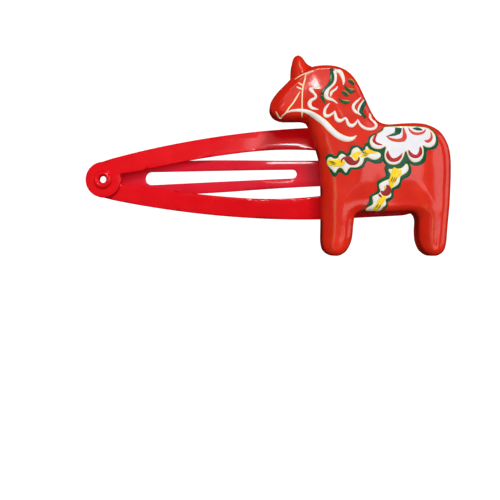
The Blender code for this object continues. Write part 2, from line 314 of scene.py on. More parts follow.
def distances(points, starts, ends):
    """Distance from each point to each edge: one row for a point, one column for an edge."""
    along = ends - starts
    length2 = np.maximum((along ** 2).sum(1), TINY ** 2)
    offset = points[:, None, :] - starts[None]
    share = np.clip((offset * along[None]).sum(2) / length2[None], 0.0, 1.0)
    gap = offset - share[:, :, None] * along[None]
    return np.sqrt((gap ** 2).sum(2))


def edge_field(points, loops):
    """Distance from each point to the nearest edge of the loops, and that edge's outward normal."""
    points = np.asarray(points, float)
    starts = np.vstack(loops)
    ends = np.vstack([np.roll(loop, -1, axis=0) for loop in loops])
    along = ends - starts
    length = np.sqrt(np.maximum((along ** 2).sum(1), TINY ** 2))
    outward = np.stack([along[:, 1], -along[:, 0]], axis=1) / length[:, None]
    distance = np.empty(len(points))
    normal = np.empty((len(points), 2))
    for first in range(0, len(points), POINTS_AT_ONCE):
        part = slice(first, first + POINTS_AT_ONCE)
        away = distances(points[part], starts, ends)
        distance[part] = away.min(1)
        weight = np.exp(-(away - distance[part][:, None]) / NORMAL_BLEND)
        normal[part] = unit((weight[:, :, None] * outward[None]).sum(1))
    return distance, normal


def rim_fall(distance, radius):
    """How far a face falls back at an edge rounded with this radius."""
    near = np.clip(radius - distance, 0.0, radius)
    return radius - np.sqrt(np.maximum(radius ** 2 - near ** 2, 0.0))


def inside(points, loops):
    """Whether each point lies inside the loops, holes counted out."""
    result = np.zeros(len(points), bool)
    for loop in loops:
        for (x0, z0), (x1, z1) in zip(loop, np.roll(loop, -1, axis=0)):
            if z0 == z1:
                continue
            spans = (points[:, 1] >= min(z0, z1)) & (points[:, 1] < max(z0, z1))
            crossing = x0 + (points[:, 1] - z0) * (x1 - x0) / (z1 - z0)
            result ^= spans & (points[:, 0] < crossing)
    return result


def offset_ring(loop, amounts):
    """The loop moved inwards by one amount, or by an amount for each point."""
    before = unit(loop - np.roll(loop, 1, axis=0))
    after = unit(np.roll(loop, -1, axis=0) - loop)
    along = unit(before + after)
    inward = np.stack([-along[:, 1], along[:, 0]], axis=1)
    return loop + inward * np.asarray(amounts, float).reshape(-1, 1)


def lattice(loops, spacing, clearance):
    """Points in a triangular pattern inside the loops, clear of their edges."""
    low = np.min(np.vstack(loops), axis=0)
    high = np.max(np.vstack(loops), axis=0)
    pitch = spacing * LATTICE_ROW
    points = []
    for row in range(int((high[1] - low[1]) / pitch) + 2):
        shift = 0.5 * spacing if row % 2 else 0.0
        for x in np.arange(low[0] + shift, high[0], spacing):
            points.append((x, low[1] + row * pitch))
    points = np.array(points)
    points = points[inside(points, loops)]
    distance, _ = edge_field(points, loops)
    return points[distance > clearance]


def relief_points(loop, rings, spacing):
    """A lattice inside the loop and rings at set distances from it, thinned where they crowd."""
    extra = [lattice([loop], spacing, RING_CLEAR)]
    for amounts in rings:
        ring = offset_ring(loop, amounts)
        distance, _ = edge_field(ring, [loop])
        extra.append(ring[inside(ring, [loop]) & (distance > RING_KEPT * amounts)])
    taken, cells = [], {}
    for p in np.vstack(extra)[::-1]:
        column, row = int(p[0] / CELL), int(p[1] / CELL)
        near = [q for i in (-1, 0, 1) for j in (-1, 0, 1)
                for q in cells.get((column + i, row + j), ())]
        if all((p[0] - q[0]) ** 2 + (p[1] - q[1]) ** 2 > CLOSEST_SQUARED for q in near):
            cells.setdefault((column, row), []).append(p)
            taken.append(p)
    return np.array(taken)


def tessellate(loops, extra):
    """Triangles over the area inside the loops, through the extra points."""
    points, edges = [], []
    for loop in loops:
        base = len(points)
        points += list(loop)
        edges += [(base + i, base + (i + 1) % len(loop)) for i in range(len(loop))]
    vectors = [Vector((float(p[0]), float(p[1]))) for p in points + list(extra)]
    out_points, _, faces, _, _, _ = delaunay_2d_cdt(vectors, edges, [], 1, 1e-6)
    flat = np.array([(p.x, p.y) for p in out_points])
    triangles = np.array([tuple(face) for face in faces])
    triangles = triangles[inside(flat[triangles].mean(1), loops)]
    a, b, c = (flat[triangles[:, k]] for k in range(3))
    turn = (b[:, 0] - a[:, 0]) * (c[:, 1] - a[:, 1]) - (b[:, 1] - a[:, 1]) * (c[:, 0] - a[:, 0])
    triangles[turn < 0.0] = triangles[turn < 0.0][:, ::-1]
    return flat, triangles


def border_edges(triangles):
    """Directed edges that only one triangle uses."""
    seen = {}
    for triangle in triangles:
        for i in range(3):
            seen[(int(triangle[i]), int(triangle[(i + 1) % 3]))] = True
    return [edge for edge in seen if (edge[1], edge[0]) not in seen]


# ---- Mesh objects ----

def new_object(name, vertices, faces):
    mesh = bpy.data.meshes.new(name)
    mesh.from_pydata([tuple(v) for v in vertices], [], [tuple(int(i) for i in f) for f in faces])
    bm = bmesh.new()
    bm.from_mesh(mesh)
    loose = [v for v in bm.verts if not v.link_faces]
    bmesh.ops.delete(bm, geom=loose, context="VERTS")
    bm.to_mesh(mesh)
    bm.free()
    mesh.polygons.foreach_set("use_smooth", [True] * len(mesh.polygons))
    mesh.validate()
    obj = bpy.data.objects.new(name, mesh)
    bpy.context.scene.collection.objects.link(obj)
    return obj


def weld(obj, distance):
    bm = bmesh.new()
    bm.from_mesh(obj.data)
    bmesh.ops.remove_doubles(bm, verts=bm.verts, dist=distance)
    bmesh.ops.recalc_face_normals(bm, faces=bm.faces)
    bm.to_mesh(obj.data)
    bm.free()


def joined(bodies):
    """One list of vertices and one of faces for several bodies."""
    all_vertices, all_faces = [], []
    for vertices, faces in bodies:
        base = len(all_vertices)
        all_vertices += vertices
        all_faces += [tuple(i + base for i in face) for face in faces]
    return all_vertices, all_faces


def two_sided(flat, triangles, front, back, rim_rows=0, open_edge=None):
    """A closed body over a flat area, its two sides joined by a rim except where open_edge says."""
    count = len(flat)
    vertices = [(p[0], y, p[1]) for p, y in zip(flat, front)]
    vertices += [(p[0], y, p[1]) for p, y in zip(flat, back)]
    faces = [tuple(t) for t in triangles]
    faces += [(t[2] + count, t[1] + count, t[0] + count) for t in triangles]
    columns = {}

    def column(i):
        if i not in columns:
            chain = [i]
            for row in range(rim_rows):
                share = (row + 1) / (rim_rows + 1)
                vertices.append((flat[i][0], front[i] + (back[i] - front[i]) * share, flat[i][1]))
                chain.append(len(vertices) - 1)
            columns[i] = chain + [i + count]
        return columns[i]

    for a, b in border_edges(triangles):
        if open_edge is not None and open_edge(flat[a], flat[b]):
            continue
        left, right = column(a), column(b)
        for i in range(len(left) - 1):
            faces.append((left[i + 1], right[i + 1], right[i], left[i]))
    return vertices, faces


def turned(profile, segments):
    """A lathe-turned closed body from a loop of (radius, height) points."""
    vertices, faces = [], []
    rows = len(profile)
    for i in range(segments):
        angle = 2.0 * math.pi * i / segments
        for radius, height in profile:
            vertices.append((radius * math.cos(angle), height, radius * math.sin(angle)))
        j = (i + 1) % segments
        for k in range(rows):
            m = (k + 1) % rows
            faces.append((i * rows + k, i * rows + m, j * rows + m, j * rows + k))
    return vertices, faces


# ---- Clip outline and bending ----

def outer_half(d):
    if d < WIDEST_AT:
        return WIDEST_HALF - EDGE_CURVE * (d - WIDEST_AT) ** 2
    return WIDEST_HALF + (END_R - WIDEST_HALF) * (d - WIDEST_AT) / (END_AT - WIDEST_AT)


def inner_half(d):
    if d < MOUTH_ENDS_AT:
        share = (d - DISC_R) / (MOUTH_ENDS_AT - DISC_R)
        return MOUTH_HALF + (inner_half(MOUTH_ENDS_AT) - MOUTH_HALF) * share
    widening = ARM_WIDENING * (max(d - ARM_WIDENS_FROM, 0.0) / ARM_WIDENING_RUN) ** 2
    return outer_half(d) - ARM_WIDTH - widening


def tongue_half(d):
    spread = (d - TONGUE_SWELL_AT) / TONGUE_SWELL_SPREAD
    return TONGUE_HALF + TONGUE_SWELL * math.exp(-spread * spread)


def bow(d):
    return ARM_BOW * (np.maximum(ARMS_FLEX_AT - d, 0.0) / ARMS_FLEX_AT) ** 2


def arm_drop(d, t):
    """The bow of the arms, and the slight dome that leans each arm's outer edge back."""
    start, stop = LEAN_SPAN
    lean = ARM_LEAN * smoothstep((d - start) / LEAN_RUN_IN) * smoothstep((stop - d) / LEAN_RUN_OUT)
    outer = np.array([outer_half(one) for one in d])
    return bow(d) + lean * (np.abs(t) - outer + ARM_WIDTH / 2.0)


def lower_arm_drop(d, t):
    """The lower arm lies as the upper one does, but passes behind it under the eyelet."""
    full, none = LOWER_DROP_SPAN
    return arm_drop(d, t) + LOWER_DISC_DROP * smoothstep((none - d) / (none - full))


def tongue_drop(d, _t):
    run = (TONGUE_FLEX_AT - d) / (TONGUE_FLEX_AT - TONGUE_BEND_AT)
    near = bow(d) + TONGUE_BEND_DROP * smoothstep(run)
    far = bow(d) + TONGUE_BEND_DROP + TONGUE_SLOPE * (TONGUE_BEND_AT - d)
    return np.where(d > TONGUE_BEND_AT, near, far)


def clip_to_row(vertices):
    """Clip millimetres (d, height, t) to the row frame."""
    return [CLIP_TURN @ Vector(((d - GRIP_TO_EYELET) * MM, y * MM, t * MM)) for d, y, t in vertices]


def is_cut(a, b):
    """Edges where the stamping is only divided into pieces: the mid line and the tongue's root."""
    on_mid_line = max(abs(a[1]), abs(b[1])) < CUT_TOLERANCE and min(a[0], b[0]) > ARMS_FLEX_AT
    at_root = max(abs(a[0] - TONGUE_ROOT), abs(b[0] - TONGUE_ROOT)) < CUT_TOLERANCE
    return on_mid_line or at_root


def sheet_part(loops, drop):
    """One flat part of the stamping: front and back faces with rounded edges, bent by drop."""
    real = [(a, b) for loop in loops for a, b in zip(loop, np.roll(loop, -1, axis=0))
            if not is_cut(a, b)]
    starts = np.array([edge[0] for edge in real])
    ends = np.array([edge[1] for edge in real])
    extra = [lattice(loops, OUTLINE_STEP, SHEET_CLEAR)]
    for amount in EDGE_RINGS:
        for loop in loops:
            ring = offset_ring(loop, amount)
            ring = ring[inside(ring, loops)]
            ring = ring[distances(ring, starts, ends).min(1) > EDGE_RING_KEPT * amount]
            clear, _ = edge_field(ring, loops)
            extra.append(ring[clear > EDGE_RING_CLEAR * amount])
    flat, triangles = tessellate(loops, np.vstack(extra))
    fall = rim_fall(distances(flat, starts, ends).min(1), SHEET_EDGE)
    middle = drop(flat[:, 0], flat[:, 1])
    front = middle - SHEET / 2.0 + fall
    back = middle + SHEET / 2.0 - fall
    return two_sided(flat, triangles, front, back, open_edge=is_cut)


def frame_half_loop():
    """The upper half of the frame: round end, arm, disc, and back along the tongue's opening."""
    notch_r = (inner_half(TONGUE_ROOT - NOTCH_END) - TONGUE_HALF) / 2.0
    notch = (TONGUE_ROOT - notch_r, TONGUE_HALF + notch_r)
    loop = arc((END_AT, 0.0), END_R, 0.0, 90.0, 24)
    loop += [(d, outer_half(d)) for d in steps(END_AT - END_CLEAR, OUTER_FROM, OUTLINE_STEP)]
    loop += arc((0.0, 0.0), DISC_R, *DISC_SWEEP, 60)
    inner_run = steps(DISC_R + INNER_CLEAR, notch[0] - NOTCH_CLEAR, OUTLINE_STEP)
    loop += [(d, inner_half(d)) for d in inner_run]
    loop += arc(notch, notch_r, *NOTCH_SWEEP, 12)
    loop.append((TONGUE_ROOT, TONGUE_HALF - ROOT_STEP))
    loop += [(TONGUE_ROOT, t) for t in reversed(TONGUE_ROOT_T) if t >= 0.0]
    mid_line = steps(TONGUE_ROOT, END_AT + END_R, OUTLINE_STEP)[1:-1]
    loop += [(d, 0.0) for d in mid_line]
    loop += [(END_AT + END_R - a, 0.0) for a in reversed(EDGE_RINGS)]
    return loop


# ---- Clip pieces ----

def build_frame():
    """The whole stamping but its tongue: both halves welded along the mid line."""
    half = counter_clockwise(frame_half_loop())
    hole = clockwise(arc((0.0, 0.0), DISC_HOLE_R, 0.0, 350.0, 35))
    lower_half = counter_clockwise(half * (1.0, -1.0))
    vertices, faces = joined([sheet_part([half, hole], arm_drop),
                              sheet_part([lower_half, hole], lower_arm_drop)])
    obj = new_object("clip_frame", clip_to_row(vertices), faces)
    weld(obj, SEAM_WELD)
    return obj


def build_tongue():
    tip_r = tongue_half(TONGUE_TIP + TIP_SIZED_AT)
    tip_centre = TONGUE_TIP + tip_r
    side = steps(TONGUE_ROOT - OUTLINE_STEP, tip_centre + TIP_CLEAR, OUTLINE_STEP)
    upper = [(TONGUE_ROOT, TONGUE_HALF - ROOT_STEP)] + [(d, tongue_half(d)) for d in side]
    tip = arc((tip_centre, 0.0), tip_r, 90.0, 270.0, 36)
    lower = [(d, -t) for d, t in reversed(upper)]
    root = [(TONGUE_ROOT, t) for t in TONGUE_ROOT_T]
    (near, near_half), (far, far_half) = TONGUE_SLOT
    slot_side = [(d, near_half - (near_half - far_half) * (d - near) / (far - near))
                 for d in steps(far, near, OUTLINE_STEP)[1:-1]]
    slot = arc((near, 0.0), near_half, 90.0, 270.0, 20)
    slot += [(d, -t) for d, t in reversed(slot_side)]
    slot += arc((far, 0.0), far_half, -90.0, 90.0, 20)
    slot += slot_side
    outline = counter_clockwise(upper + tip + lower + root)
    vertices, faces = sheet_part([outline, clockwise(slot)], tongue_drop)
    return new_object("tongue_leaf", clip_to_row(vertices), faces)


def build_eyelet():
    """The eyelet stands square to the bowed discs that it joins."""
    low_disc = SHEET / 2.0 + LOWER_DISC_DROP
    back = tuple((radius, low_disc + height) for radius, height in EYELET_BACK)
    profile = spline(EYELET_FRONT + back + (EYELET_BORE_END,), per_span=4, closed=True)
    vertices, faces = turned([tuple(p) for p in profile], EYELET_TURNS)
    lean = Matrix.Rotation(-math.atan(2.0 * ARM_BOW / ARMS_FLEX_AT), 3, "Z")
    leaned = [lean @ Vector(vertex) for vertex in vertices]
    placed = [(p.x, p.y + ARM_BOW, p.z) for p in leaned]
    obj = new_object("eyelet_ring", clip_to_row(placed), faces)
    weld(obj, WELD)
    return obj


# ---- Horse relief ----

HORSE_LOOP = even_loop(HORSE_OUTLINE[::-1], HORSE_STEP)


def waviness(points, scale):
    """Slow, smooth unevenness of about -1 to 1, as hand work leaves."""
    x, z = points[:, 0], points[:, 1]
    total = 0.0
    for share, (ax, az, a), (bx, bz, b) in WAVES:
        one = np.sin(ax * x * scale + az * z * scale + a)
        other = np.sin(bx * x * scale + bz * z * scale + b)
        total = total + share * (one * other)
    return total


def chamfer_width(points, normal):
    """The carved edge is widest on the sides that face forwards and narrow along the top."""
    forwards = np.clip(-normal[:, 0], 0.0, 1.0) ** 2
    rearwards = np.clip(normal[:, 0], 0.0, 1.0) ** 2
    upwards = np.clip(normal[:, 1], 0.0, 1.0) ** 2
    width = CHAMFER + WIDER_FORWARDS * forwards + WIDER_REARWARDS * rearwards - NARROWER_UPWARDS * upwards
    return width * (1.0 + CHAMFER_WAVER * waviness(points, scale=1.6))


def soft_plus(value, radius):
    return 0.5 * (value + np.sqrt(value * value + radius * radius))


def horse_field(points):
    """Distance inwards from the horse's outline, nought outside it, and the edge's normal."""
    distance, normal = edge_field(points, [HORSE_LOOP])
    return np.where(inside(points, [HORSE_LOOP]), distance, 0.0), normal


def surface(points):
    """Heights of the horse's painted side."""
    distance, normal = horse_field(points)
    width = chamfer_width(points, normal)
    steep = STEEPNESS - STEEPER_FORWARDS * np.clip(normal[:, 0], -1.0, 1.0)
    toward_edge = soft_plus(1.0 - distance / width, RIDGE_R)
    bend = CHAMFER_STRAIGHT * toward_edge + (1.0 - CHAMFER_STRAIGHT) * toward_edge ** 2
    crown = CROWN * (1.0 - smoothstep((distance - width) / CROWN_RUN))
    uneven = FACE_UNEVEN * (1.0 + waviness(points, scale=0.9))
    return FACE_Y + (steep * width * bend + rim_fall(distance, EDGE_R) + crown + uneven)


def flank(points):
    """Heights of the horse's plain side."""
    distance, _ = horse_field(points)
    carved = BACK_STEEPNESS * soft_plus(1.0 - distance / BACK_CHAMFER, RIDGE_R)
    uneven = BACK_UNEVEN * (1.0 + waviness(points, scale=1.1))
    return FLANK_Y - (carved + rim_fall(distance, BACK_EDGE_R) + uneven)


def horse_to_row(vertices):
    """Horse millimetres (x, height, z) to the row frame."""
    ox, oz = HORSE_AT
    return [((x + ox) * MM, y * MM, (z + oz) * MM) for x, y, z in vertices]


# ---- Horse and glue pieces ----

def mark_painted_highlight(obj):
    """A painted highlight: a lighter band along the carved ridges of the chest and the legs, on the
    painted side where they face forwards.
    """
    places = np.array([tuple(vertex.co) for vertex in obj.data.vertices]) / MM
    flat = places[:, (0, 2)] - np.array(HORSE_AT)
    distance, normal = edge_field(flat, [HORSE_LOOP])
    off_ridge = (distance - chamfer_width(flat, normal)) / HIGHLIGHT_WIDTH
    on_front = places[:, 1] < (FACE_Y + FLANK_Y) / 2.0
    faces_forwards = np.clip(-normal[:, 0], 0.0, 1.0) * on_front
    below_neck = smoothstep((HIGHLIGHT_TOP - flat[:, 1]) / HIGHLIGHT_FADE)
    broken = 1.0 - HIGHLIGHT_BREAKS + HIGHLIGHT_BREAKS * waviness(flat, scale=3.0)
    # Painted highlight: a lighter band on the ridge, only on the forward-facing edges of the painted side
    painted_highlight = np.exp(-off_ridge ** 2) * faces_forwards * below_neck * broken
    layer = obj.data.attributes.new("ridge_highlight", "FLOAT", "POINT")
    layer.data.foreach_set("value", painted_highlight.astype(np.float32))


def build_horse():
    _, normal = edge_field(offset_ring(HORSE_LOOP, NORMALS_AT), [HORSE_LOOP])
    widths = chamfer_width(HORSE_LOOP, normal)
    rings = [widths + beside for beside in RINGS_ALONG_RIDGE] + list(RINGS_ALONG_EDGE)
    extra = relief_points(HORSE_LOOP, rings, HORSE_LATTICE)
    flat, triangles = tessellate([HORSE_LOOP], extra)
    vertices, faces = two_sided(flat, triangles, surface(flat), flank(flat), HORSE_RIM_ROWS)
    obj = new_object("horse_body", horse_to_row(vertices), faces)
    weld(obj, WELD)
    mark_painted_highlight(obj)
    return obj


def build_ears():
    loop = even_loop(EAR_OUTLINE[::-1], EAR_STEP)
    flat, triangles = tessellate([loop], relief_points(loop, EAR_RINGS, EAR_LATTICE))
    distance, _ = edge_field(flat, [loop])
    inner = np.clip(distance, 0.0, EAR_CROWN_RUN) / EAR_CROWN_RUN
    fall = EAR_SLANT * np.exp(-distance / EAR_SLANT_RUN) + EAR_CROWN * (1.0 - inner)
    vertices, faces = joined(
        two_sided(flat, triangles, mid_y - EAR_HALF + fall, mid_y + EAR_HALF - fall)
        for mid_y in EAR_MID_Y)
    obj = new_object("horse_ears", horse_to_row(vertices), faces)
    weld(obj, WELD)
    return obj


def build_glue():
    """A set blob of glue: a soft-edged pad with a few bulges where it squeezed out."""
    low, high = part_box("glue_pad")
    centre = (low + high) / 2.0
    half = (high - low) / 2.0
    angle = 2.0 * math.pi * np.arange(GLUE_POINTS) / GLUE_POINTS
    along, up = np.cos(angle), np.sin(angle)
    reach = GLUE_FILL + sum(amount * np.sin(rate * angle + phase) for amount, rate, phase in GLUE_BULGES)
    reach /= (np.abs(along) ** GLUE_SQUARENESS + np.abs(up) ** GLUE_SQUARENESS) ** (1.0 / GLUE_SQUARENESS)
    loop = counter_clockwise(np.stack([centre.x + half.x * reach * along,
                                       centre.z + half.z * reach * up], axis=1) / MM)
    flat, triangles = tessellate([loop], relief_points(loop, GLUE_RINGS, GLUE_LATTICE))
    distance, _ = edge_field(flat, [loop])
    pull = GLUE_EDGE_SHARE * rim_fall(distance, GLUE_EDGE_R)
    front = FLANK_Y - GLUE_OVERLAP + pull
    back = -SHEET / 2.0 + GLUE_OVERLAP - pull
    vertices, faces = two_sided(flat, triangles, front, back, GLUE_RIM_ROWS)
    obj = new_object("glue_bead", [(x * MM, y * MM, z * MM) for x, y, z in vertices], faces)
    weld(obj, WELD)
    return obj


# ---- Materials ----

COAT_ROUGHNESS = 0.09
SPECULAR = 0.12
WIDE_PATCHES = 350.0
PAINT_PATCHES = 900.0
PATCH_DETAIL = 6.0
PATCH_SPAN = (0.3, 0.7)
GLOSS_SPREAD = (0.8, 1.25)
PEEL_DETAIL = 2.0
PEEL_DEPTH = 0.00003

# Orange peel: how fine, and how strong
ENAMEL_PEEL = (2600.0, 0.12)
LACQUER_PEEL = (1500.0, 0.35)
GLUE_PEEL = (900.0, 0.5)
PAINT_PEEL = (1800.0, 0.4)
PAINT_ROUGHNESS = 0.34
PAINT_COAT = 0.22

# Each finish drifts slowly between its two colours
CLIP_REDS = ((0.84, 0.005, 0.010), (0.76, 0.004, 0.009))
# Painted shade: the tongue takes a darker, more crimson copy of the clip's own red
TONGUE_SHADED_REDS = ((0.78, 0.011, 0.030), (0.71, 0.009, 0.026))
HORSE_REDS = ((0.74, 0.024, 0.006), (0.62, 0.013, 0.004))
# Painted highlight colour for the forward-facing carved ridges
RIDGE_HIGHLIGHT_RED = (0.66, 0.12, 0.05)
GLUE_CREAMS = ((0.80, 0.74, 0.58), (0.74, 0.66, 0.48))
PAINTS = {
    "green": ((0.003, 0.095, 0.040), (0.002, 0.066, 0.028)),
    "cream": ((0.92, 0.82, 0.52), (0.86, 0.70, 0.38)),
    "white": ((0.85, 0.84, 0.86), (0.78, 0.76, 0.80)),
    "yellow": ((1.0, 0.74, 0.012), (0.88, 0.56, 0.02)),
    "olive": ((0.42, 0.36, 0.06), (0.30, 0.28, 0.05)),
    "red": ((0.52, 0.012, 0.010), (0.40, 0.008, 0.008)),
    "orange": ((0.76, 0.075, 0.030), (0.66, 0.040, 0.018)),
    "dark_red": ((0.36, 0.030, 0.024), (0.30, 0.018, 0.016)),
    "black": ((0.06, 0.035, 0.01), (0.04, 0.02, 0.01)),
}


def noise(tree, place, scale, detail):
    node = tree.nodes.new("ShaderNodeTexNoise")
    node.inputs["Scale"].default_value = scale
    node.inputs["Detail"].default_value = detail
    tree.links.new(place.outputs["Object"], node.inputs["Vector"])
    return node.outputs["Fac"]


def mix_painted_highlight(tree, colour_out, highlight_colour):
    """The colour mixed with the painted highlight colour, as much as the mesh's painted-highlight
    attribute says.
    """
    painted_highlight = tree.nodes.new("ShaderNodeAttribute")
    painted_highlight.attribute_name = "ridge_highlight"
    mixed = tree.nodes.new("ShaderNodeMixRGB")
    mixed.inputs[2].default_value = (*highlight_colour, 1.0)
    tree.links.new(painted_highlight.outputs["Fac"], mixed.inputs[0])
    tree.links.new(colour_out, mixed.inputs[1])
    return mixed.outputs[0]


def material(name, colours, roughness, coat, peel, patches=WIDE_PATCHES, highlight_colour=None):
    """A glossy painted finish: slow colour drift, uneven gloss and fine orange peel, with a painted ridge
    highlight mixed in where one is given.
    """
    made = bpy.data.materials.new(name)
    made.use_nodes = True
    tree = made.node_tree
    nodes, links = tree.nodes, tree.links
    shader = nodes["Principled BSDF"]
    shader.inputs["Coat Weight"].default_value = coat
    shader.inputs["Coat Roughness"].default_value = COAT_ROUGHNESS
    shader.inputs["Specular IOR Level"].default_value = SPECULAR
    place = nodes.new("ShaderNodeTexCoord")
    slow = noise(tree, place, patches, PATCH_DETAIL)
    ramp = nodes.new("ShaderNodeValToRGB")
    for stop, position, colour in zip(ramp.color_ramp.elements, PATCH_SPAN, reversed(colours)):
        stop.position = position
        stop.color = (*colour, 1.0)
    links.new(slow, ramp.inputs["Fac"])
    colour_out = ramp.outputs["Color"]
    if highlight_colour:
        colour_out = mix_painted_highlight(tree, colour_out, highlight_colour)
    links.new(colour_out, shader.inputs["Base Color"])
    gloss = nodes.new("ShaderNodeMapRange")
    for end, share in zip(("To Min", "To Max"), GLOSS_SPREAD):
        gloss.inputs[end].default_value = roughness * share
    links.new(slow, gloss.inputs["Value"])
    links.new(gloss.outputs["Result"], shader.inputs["Roughness"])
    bump = nodes.new("ShaderNodeBump")
    fineness, bump.inputs["Strength"].default_value = peel
    bump.inputs["Distance"].default_value = PEEL_DEPTH
    links.new(noise(tree, place, fineness, PEEL_DETAIL), bump.inputs["Height"])
    links.new(bump.outputs["Normal"], shader.inputs["Normal"])
    return made


def plain_finish(name, colour, glow):
    made = bpy.data.materials.new(name)
    made.use_nodes = True
    shader = made.node_tree.nodes["Principled BSDF"]
    shader.inputs["Base Color"].default_value = (colour, colour, colour, 1.0)
    shader.inputs["Roughness"].default_value = 0.9
    shader.inputs["Specular IOR Level"].default_value = 0.1
    shader.inputs["Emission Color"].default_value = (1.0, 1.0, 1.0, 1.0)
    shader.inputs["Emission Strength"].default_value = glow
    return made


# ---- Painted kurbits: areas as (x, z) outlines, strokes as (x, z, width) along their middles ----

GREEN_AREAS = (
    # Saddle flower, outside its green outline
    ((15.05, 17.15), (14.7, 16.7), (14.15, 16.4), (13.6, 16.15), (13.1, 15.9), (12.9, 15.3),
     (12.85, 14.75), (13.2, 14.25), (13.7, 13.9), (14.5, 13.75), (14.95, 13.5), (14.9, 12.9),
     (15.05, 12.35), (15.5, 11.9), (16.0, 11.65), (16.6, 11.6), (17.25, 11.75), (17.75, 12.05),
     (18.2, 12.3), (18.5, 12.2), (18.95, 11.98), (19.6, 11.95), (20.2, 12.15), (20.65, 12.6), (20.8, 13.2),
     (20.85, 13.85), (21.15, 14.02), (21.8, 14.15), (22.25, 14.55), (22.38, 15.15), (22.3, 15.75),
     (22.05, 16.25), (21.7, 16.6), (21.3, 16.95), (20.4, 17.2), (18.5, 17.3), (16.5, 17.3)),
    # Breast band
    ((7.3, 13.1), (7.63, 13.5), (8.14, 13.6), (8.48, 13.38), (8.77, 13.36), (8.99, 13.7), (9.16, 14.0),
     (9.56, 14.06), (9.9, 13.83), (10.24, 13.66), (10.45, 13.98), (10.64, 14.43), (10.98, 14.68),
     (11.49, 14.74), (11.94, 14.57), (12.28, 14.42), (12.5, 14.8), (12.85, 15.1), (13.5, 14.6),
     (14.6, 14.2), (15.2, 13.6), (15.0, 12.6), (14.7, 12.28), (13.98, 12.22), (13.4, 12.4), (13.0, 12.56),
     (12.8, 12.45), (12.6, 12.05), (12.4, 11.7), (11.9, 11.48), (11.37, 11.42), (10.9, 11.45),
     (10.7, 11.15), (10.4, 10.7), (10.0, 10.62), (9.67, 10.8), (9.39, 11.03), (9.1, 10.96), (8.94, 10.64),
     (8.65, 10.45), (8.26, 10.62), (8.03, 11.03), (7.86, 11.45), (7.6, 12.0), (7.45, 12.6)),
    # Girth band
    ((18.3, 12.4), (18.65, 12.0), (18.78, 11.4), (18.7, 10.97), (18.4, 10.5), (17.84, 10.2), (17.52, 9.95),
     (17.4, 9.45), (17.2, 9.0), (16.57, 8.78), (16.45, 8.43), (16.45, 7.93), (16.32, 7.6), (15.94, 7.3),
     (15.7, 7.1), (15.7, 6.66), (15.43, 6.28), (15.12, 6.05), (15.05, 5.94), (14.2, 5.95), (12.4, 6.0),
     (12.27, 6.25), (12.5, 6.6), (12.9, 6.9), (13.1, 7.3), (13.1, 7.8), (13.34, 8.18), (13.79, 8.37),
     (14.17, 8.69), (14.13, 9.2), (14.1, 9.76), (14.36, 10.14), (14.93, 10.4), (15.3, 10.65),
     (15.24, 11.0), (15.15, 11.8), (15.8, 12.3), (17.2, 12.4)),
)
CREAM_AREAS = (
    ((15.2, 17.1), (14.9, 16.65), (14.15, 16.2), (13.5, 15.86), (13.22, 15.38), (13.22, 14.9),
     (13.46, 14.45), (13.98, 14.18), (14.7, 14.18), (15.3, 14.45), (15.22, 13.86), (15.14, 13.22),
     (15.34, 12.58), (15.82, 12.18), (16.46, 12.06), (17.1, 12.26), (17.5, 12.74), (17.74, 13.22),
     (17.98, 13.85), (18.22, 13.3), (18.46, 12.82), (18.86, 12.46), (19.34, 12.38), (19.82, 12.54),
     (20.22, 12.98), (20.38, 13.54), (20.38, 14.1), (20.3, 14.62), (20.54, 14.46), (20.94, 14.34),
     (21.42, 14.42), (21.82, 14.74), (22.02, 15.3), (21.98, 15.86), (21.74, 16.34), (21.34, 16.74),
     (20.9, 16.98), (20.3, 17.12), (18.6, 17.22), (16.5, 17.22)),
    ((7.55, 12.6), (7.72, 13.05), (8.09, 13.16), (8.5, 12.92), (8.95, 13.0), (9.16, 13.36), (9.5, 13.58),
     (9.84, 13.47), (10.13, 13.27), (10.45, 13.26), (10.69, 13.53), (10.81, 13.98), (11.09, 14.29),
     (11.49, 14.41), (11.83, 14.26), (12.08, 13.92), (12.4, 13.8), (12.56, 14.15), (12.68, 14.5),
     (12.87, 14.6), (13.02, 14.38), (13.3, 14.09), (13.75, 13.92), (14.43, 13.75), (14.69, 13.5),
     (14.69, 13.19), (14.43, 12.9), (13.98, 12.73), (13.53, 12.76), (13.13, 12.96), (12.85, 13.05),
     (12.51, 12.9), (12.39, 12.51), (12.17, 12.11), (11.83, 11.83), (11.37, 11.69), (10.92, 11.71),
     (10.58, 11.66), (10.35, 11.37), (10.13, 11.0), (9.9, 11.09), (9.67, 11.43), (9.39, 11.66),
     (9.11, 11.6), (8.88, 11.32), (8.65, 10.95), (8.45, 11.09), (8.26, 11.37), (8.03, 11.6), (7.75, 11.9),
     (7.6, 12.2)),
    ((18.03, 12.3), (18.28, 12.1), (18.38, 11.6), (18.22, 11.16), (17.84, 10.84), (17.4, 10.59),
     (17.24, 10.27), (17.2, 9.89), (17.02, 9.51), (16.64, 9.19), (16.19, 8.94), (16.07, 8.56),
     (16.1, 8.12), (16.0, 7.8), (15.56, 7.61), (15.37, 7.42), (15.43, 6.98), (15.37, 6.72), (14.99, 6.41),
     (14.8, 6.15), (14.7, 5.97), (13.8, 5.98), (12.75, 6.02), (12.84, 6.34), (13.2, 6.6), (13.6, 6.9),
     (13.63, 7.29), (13.53, 7.74), (13.72, 8.0), (14.17, 8.2), (14.5, 8.4), (14.6, 8.69), (14.45, 9.07),
     (14.45, 9.5), (14.74, 9.76), (15.18, 9.99), (15.7, 10.2), (15.97, 10.46), (15.94, 10.84),
     (15.69, 11.28), (15.75, 11.57), (16.2, 11.54), (16.7, 11.57), (17.33, 11.66), (17.7, 11.9),
     (17.9, 12.2)),
)
WHITE_INSET = 0.13
CREAM_EDGE = 0.03
WHITE_SHARE = 0.72
